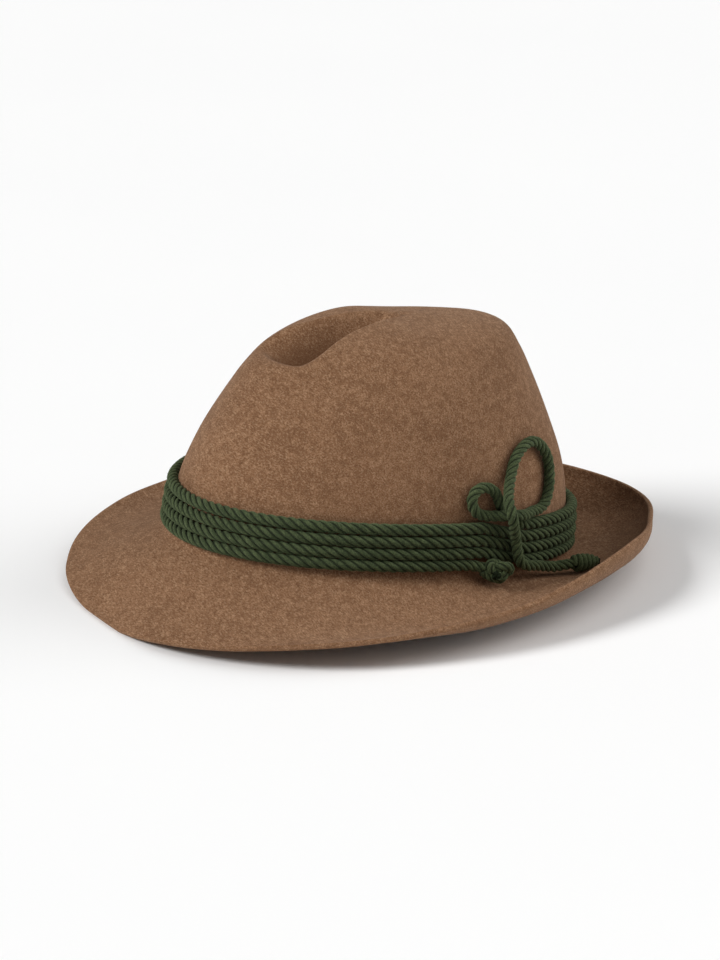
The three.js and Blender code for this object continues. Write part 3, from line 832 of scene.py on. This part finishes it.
fuzz_yarn, start = new_material("loose_green_wool")
place = start.node("ShaderNodeTexCoord", {}, {}, "Object")
tint = start.node("ShaderNodeTexNoise", {}, {"Vector": place, "Scale": 420.0, "Detail": 2.0})
finish_material(start, {
    "Base Color": start.mix(tint.between(0.35, 0.65), MID_GREEN, LIGHT_GREEN),
    "Roughness": 0.9,
    "Specular IOR Level": 0.15,
})
fuzz = with_nodes(bpy.data.objects.new("cord_fuzz", cord.data.copy()), short_fibres_tree(), {
    "Density": FUZZ_FOR_A_SQUARE_METRE, "Length": FUZZ_LENGTH / 1000, "Radius": FUZZ_RADIUS / 1000,
    "Seed": FUZZ_SEED, "Material": fuzz_yarn})
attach(fuzz, "root")


# Knot on the cord's start: the end of the same cord tied round itself to a ball, at the lower left of the
# bow. Its cut end looks out at the bottom.
KNOT_WIDE = 1.85
KNOT_HIGH = 1.35
KNOT_DEEP = 1.3
KNOT_STRAND = 1.15
KNOT_LAID = 1.5
KNOT_LAY = 13
KNOT_AHEAD = 7.4
KNOT_RISE = 0.2
KNOT_STEPS = 8
CUT_STEPS = 4
CUT_TURN = 0.6
CUT_THICK = 0.9
CUT_DARK = (0.004, 0.007, 0.003, 1)
CUT_LIGHT = (0.016, 0.024, 0.01, 1)


def off_crown(point):
    """Level direction straight out of the crown at a point."""
    return unit(np.array([point[0] / felt_width ** 2, point[1] / felt_length ** 2, 0]))


ahead = unit(cord_line[0] - cord_line[3])
down = unit(np.cross(ahead, off_crown(cord_line[0])))
out = np.cross(down, ahead)
turn = np.radians(np.linspace(200, 500, 16))
loops = np.stack([
    np.sin(turn) + 2 * np.sin(2 * turn),
    np.cos(turn) - 2 * np.cos(2 * turn),
    -np.sin(3 * turn),
], -1)
way_in = [(-4.2, -1.4, 0), (-2.6, -2.2, 0.3), (-1.2, -2.7, 0.7)]
way_out = [(0.3, -2.6, -0.4), (0.1, -2.3, 1.0), (-0.4, -1.7, 2.1), (-0.6, -1.5, 2.8)]
cut_end = [(-0.6, -1.5, 2.6), (-0.7, -1.6, 3.1), (-0.75, -1.7, 3.6)]
centre = cord_line[0] + ahead * KNOT_AHEAD - down * KNOT_RISE


def in_knot(points):
    """Points given along the cord, upwards and outwards from the knot's middle, in its own sizes."""
    wide, high, deep = np.asarray(points).T[..., None]
    return centre + wide * ahead * KNOT_WIDE - high * down * KNOT_HIGH + deep * out * KNOT_DEEP


cut_yarn, start = new_material("cut_green_wool")
place = start.node("ShaderNodeTexCoord", {}, {}, "Object")
ends = start.node("ShaderNodeTexVoronoi", {}, {"Vector": place, "Scale": 2400.0})
relief = start.node("ShaderNodeBump", {}, {"Strength": 0.8, "Distance": 0.0005, "Height": ends}, "Normal")
finish_material(start, {
    "Base Color": start.mix(ends.between(0.2, 0.7), CUT_DARK, CUT_LIGHT),
    "Roughness": 0.95,
    "Specular IOR Level": 0.1,
    "Normal": relief,
})
ball = in_knot(smooth_line([*way_in, *loops, *way_out], KNOT_STEPS))
ball_lay = lengths(ball) * 2 * math.pi / KNOT_LAY
knot = laid_cord("start_knot", ball, ball_lay, 1, STRANDS, KNOT_STRAND, KNOT_LAID)
stub = in_knot(smooth_line(cut_end, CUT_STEPS))
stub_lay = lengths(stub) * CUT_TURN
tuft = laid_cord(
    "start_knot_cut_end", stub, stub_lay, CUT_THICK, STRANDS, KNOT_STRAND, KNOT_LAID, cut_yarn)
for made in (knot, tuft):
    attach(made, "root")
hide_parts("cord_start_knot")


# Knot on the cord's end: the tail is wound with its own yarn, from the cord's thickness to a narrow tip,
# so that it can't come untwisted. It ends the cord at the right of the bow.
END_LENGTH = 13.5
END_DIAMETER = 9.2
WRAPS = 5.5
WRAP_STRAND = 1.3
WRAP_POINTS = 220
WRAP_TURN = 0.6
CORE_FROM = -0.1
CORE_TO = 1.04
CORE_POINTS = 12
CORE_STRAND = 1.1
CORE_TURN = 0.5
end_outline = {"at": [0, 0.06, 0.3, 0.6, 0.86, 1], "wide": [0.72, 0.94, 1, 0.9, 0.66, 0.4]}

ahead = unit(cord_line[-1] - cord_line[-6])
across = unit(np.cross(ahead, off_crown(cord_line[-1])))
up = np.cross(across, ahead)
share = np.linspace(0, 1, WRAP_POINTS)
radius = column(end_outline, "wide", share) * END_DIAMETER / 2 - WRAP_STRAND
turn = -share * WRAPS * 2 * math.pi
wraps = (cord_line[-1] + share[:, None] * ahead * END_LENGTH
         + radius[:, None] * (np.cos(turn)[:, None] * up + np.sin(turn)[:, None] * across))
core_places = np.linspace(CORE_FROM, CORE_TO, CORE_POINTS)
tip = np.stack([cord_line[-1] + ahead * at * END_LENGTH for at in core_places])
end_knot = laid_cord("end_knot_wraps", wraps, lengths(wraps) * WRAP_TURN, 1, 1, WRAP_STRAND, 0)
core_lay = lengths(tip) * CORE_TURN
core = laid_cord("end_knot_core", tip, core_lay, 1, STRANDS, CORE_STRAND, CORE_STRAND, cut_yarn)
for made in (end_knot, core):
    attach(made, "root")
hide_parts("cord_end_knot")


# Floor: a wide, plain, pale sheet that the hat lies on.
FLOOR_REACH = 9000
FLOOR_DARK = (0.93, 0.93, 0.93, 1)
FLOOR_LIGHT = (0.95, 0.95, 0.945, 1)

floor_material, start = new_material("pale_floor")
place = start.node("ShaderNodeTexCoord", {}, {}, "Object")
faint = start.node("ShaderNodeTexNoise", {}, {"Vector": place, "Scale": 3.0, "Detail": 2.0})
finish_material(start, {
    "Base Color": start.mix(faint, FLOOR_DARK, FLOOR_LIGHT),
    "Roughness": 0.8,
    "Specular IOR Level": 0.2,
})
corners = [(x * FLOOR_REACH, y * FLOOR_REACH, 0) for x, y in ((-1, -1), (1, -1), (1, 1), (-1, 1))]
floor = piece("floor", corners, [[0, 1, 2, 3]], floor_material, False)


# Camera and light: the photograph's angle, from the wearer's left front and a little above, with soft
# light from both sides and from above, and a faint one from the front.
FRAME_WIDTH = 720
FRAME_HEIGHT = 960
SENSOR_HEIGHT = 36
ROOM_LIGHT = 0.16
CAMERA_ROUND = math.radians(28.506)
CAMERA_UP = math.radians(17.529)
CAMERA_ROLL = math.radians(-1.09)
CAMERA_DISTANCE = 1.6
CAMERA_LENS = 120
AIM_HEIGHT = 0.05
PRINCIPAL = (373.09, 471.15)

back = Vector((
    math.cos(CAMERA_ROUND) * math.cos(CAMERA_UP),
    -math.sin(CAMERA_ROUND) * math.cos(CAMERA_UP),
    math.sin(CAMERA_UP),
))
level = Vector((math.sin(CAMERA_ROUND), math.cos(CAMERA_ROUND), 0))
above = back.cross(level)
right = math.cos(CAMERA_ROLL) * level + math.sin(CAMERA_ROLL) * above
upright = back.cross(right)
camera = bpy.data.objects.new("camera", bpy.data.cameras.new("camera"))
camera.data.sensor_fit = "VERTICAL"
camera.data.sensor_height = SENSOR_HEIGHT
camera.data.lens = CAMERA_LENS
camera.data.shift_x = (FRAME_WIDTH / 2 - PRINCIPAL[0]) / FRAME_HEIGHT
camera.data.shift_y = (PRINCIPAL[1] - FRAME_HEIGHT / 2) / FRAME_HEIGHT
stand = Matrix.Translation(Vector((0, 0, AIM_HEIGHT)) + back * CAMERA_DISTANCE)
camera.matrix_world = stand @ Matrix((right, upright, back)).transposed().to_4x4()
bpy.context.scene.collection.objects.link(camera)
bpy.context.scene.camera = camera

flat_back = Vector((back.x, back.y, 0)).normalized()
for name, way, height, spread, strength in (
    ("light_left", flat_back * 0.3 - level * 0.95, 38, 26, 2.6),
    ("light_right", level * 1.0 - flat_back * 0.1, 22, 50, 1.5),
    ("light_front", flat_back * 1.0 - level * 0.2, 14, 60, 0.18),
    ("light_above", flat_back * 0.4 + level * 0.9, 62, 50, 0.7),
):
    lamp = bpy.data.lights.new(name, "SUN")
    lamp.angle = math.radians(spread)
    lamp.energy = strength
    made = bpy.data.objects.new(name, lamp)
    height = math.radians(height)
    towards = way.normalized() * math.cos(height) + Vector((0, 0, math.sin(height)))
    made.rotation_euler = towards.to_track_quat("Z", "Y").to_euler()
    bpy.context.scene.collection.objects.link(made)

world = bpy.data.worlds.new("studio")
world.use_nodes = True
world.node_tree.nodes["Background"].inputs["Color"].default_value = (1, 1, 1, 1)
world.node_tree.nodes["Background"].inputs["Strength"].default_value = ROOM_LIGHT
bpy.context.scene.world = world
bpy.context.scene.view_settings.view_transform = "Standard"
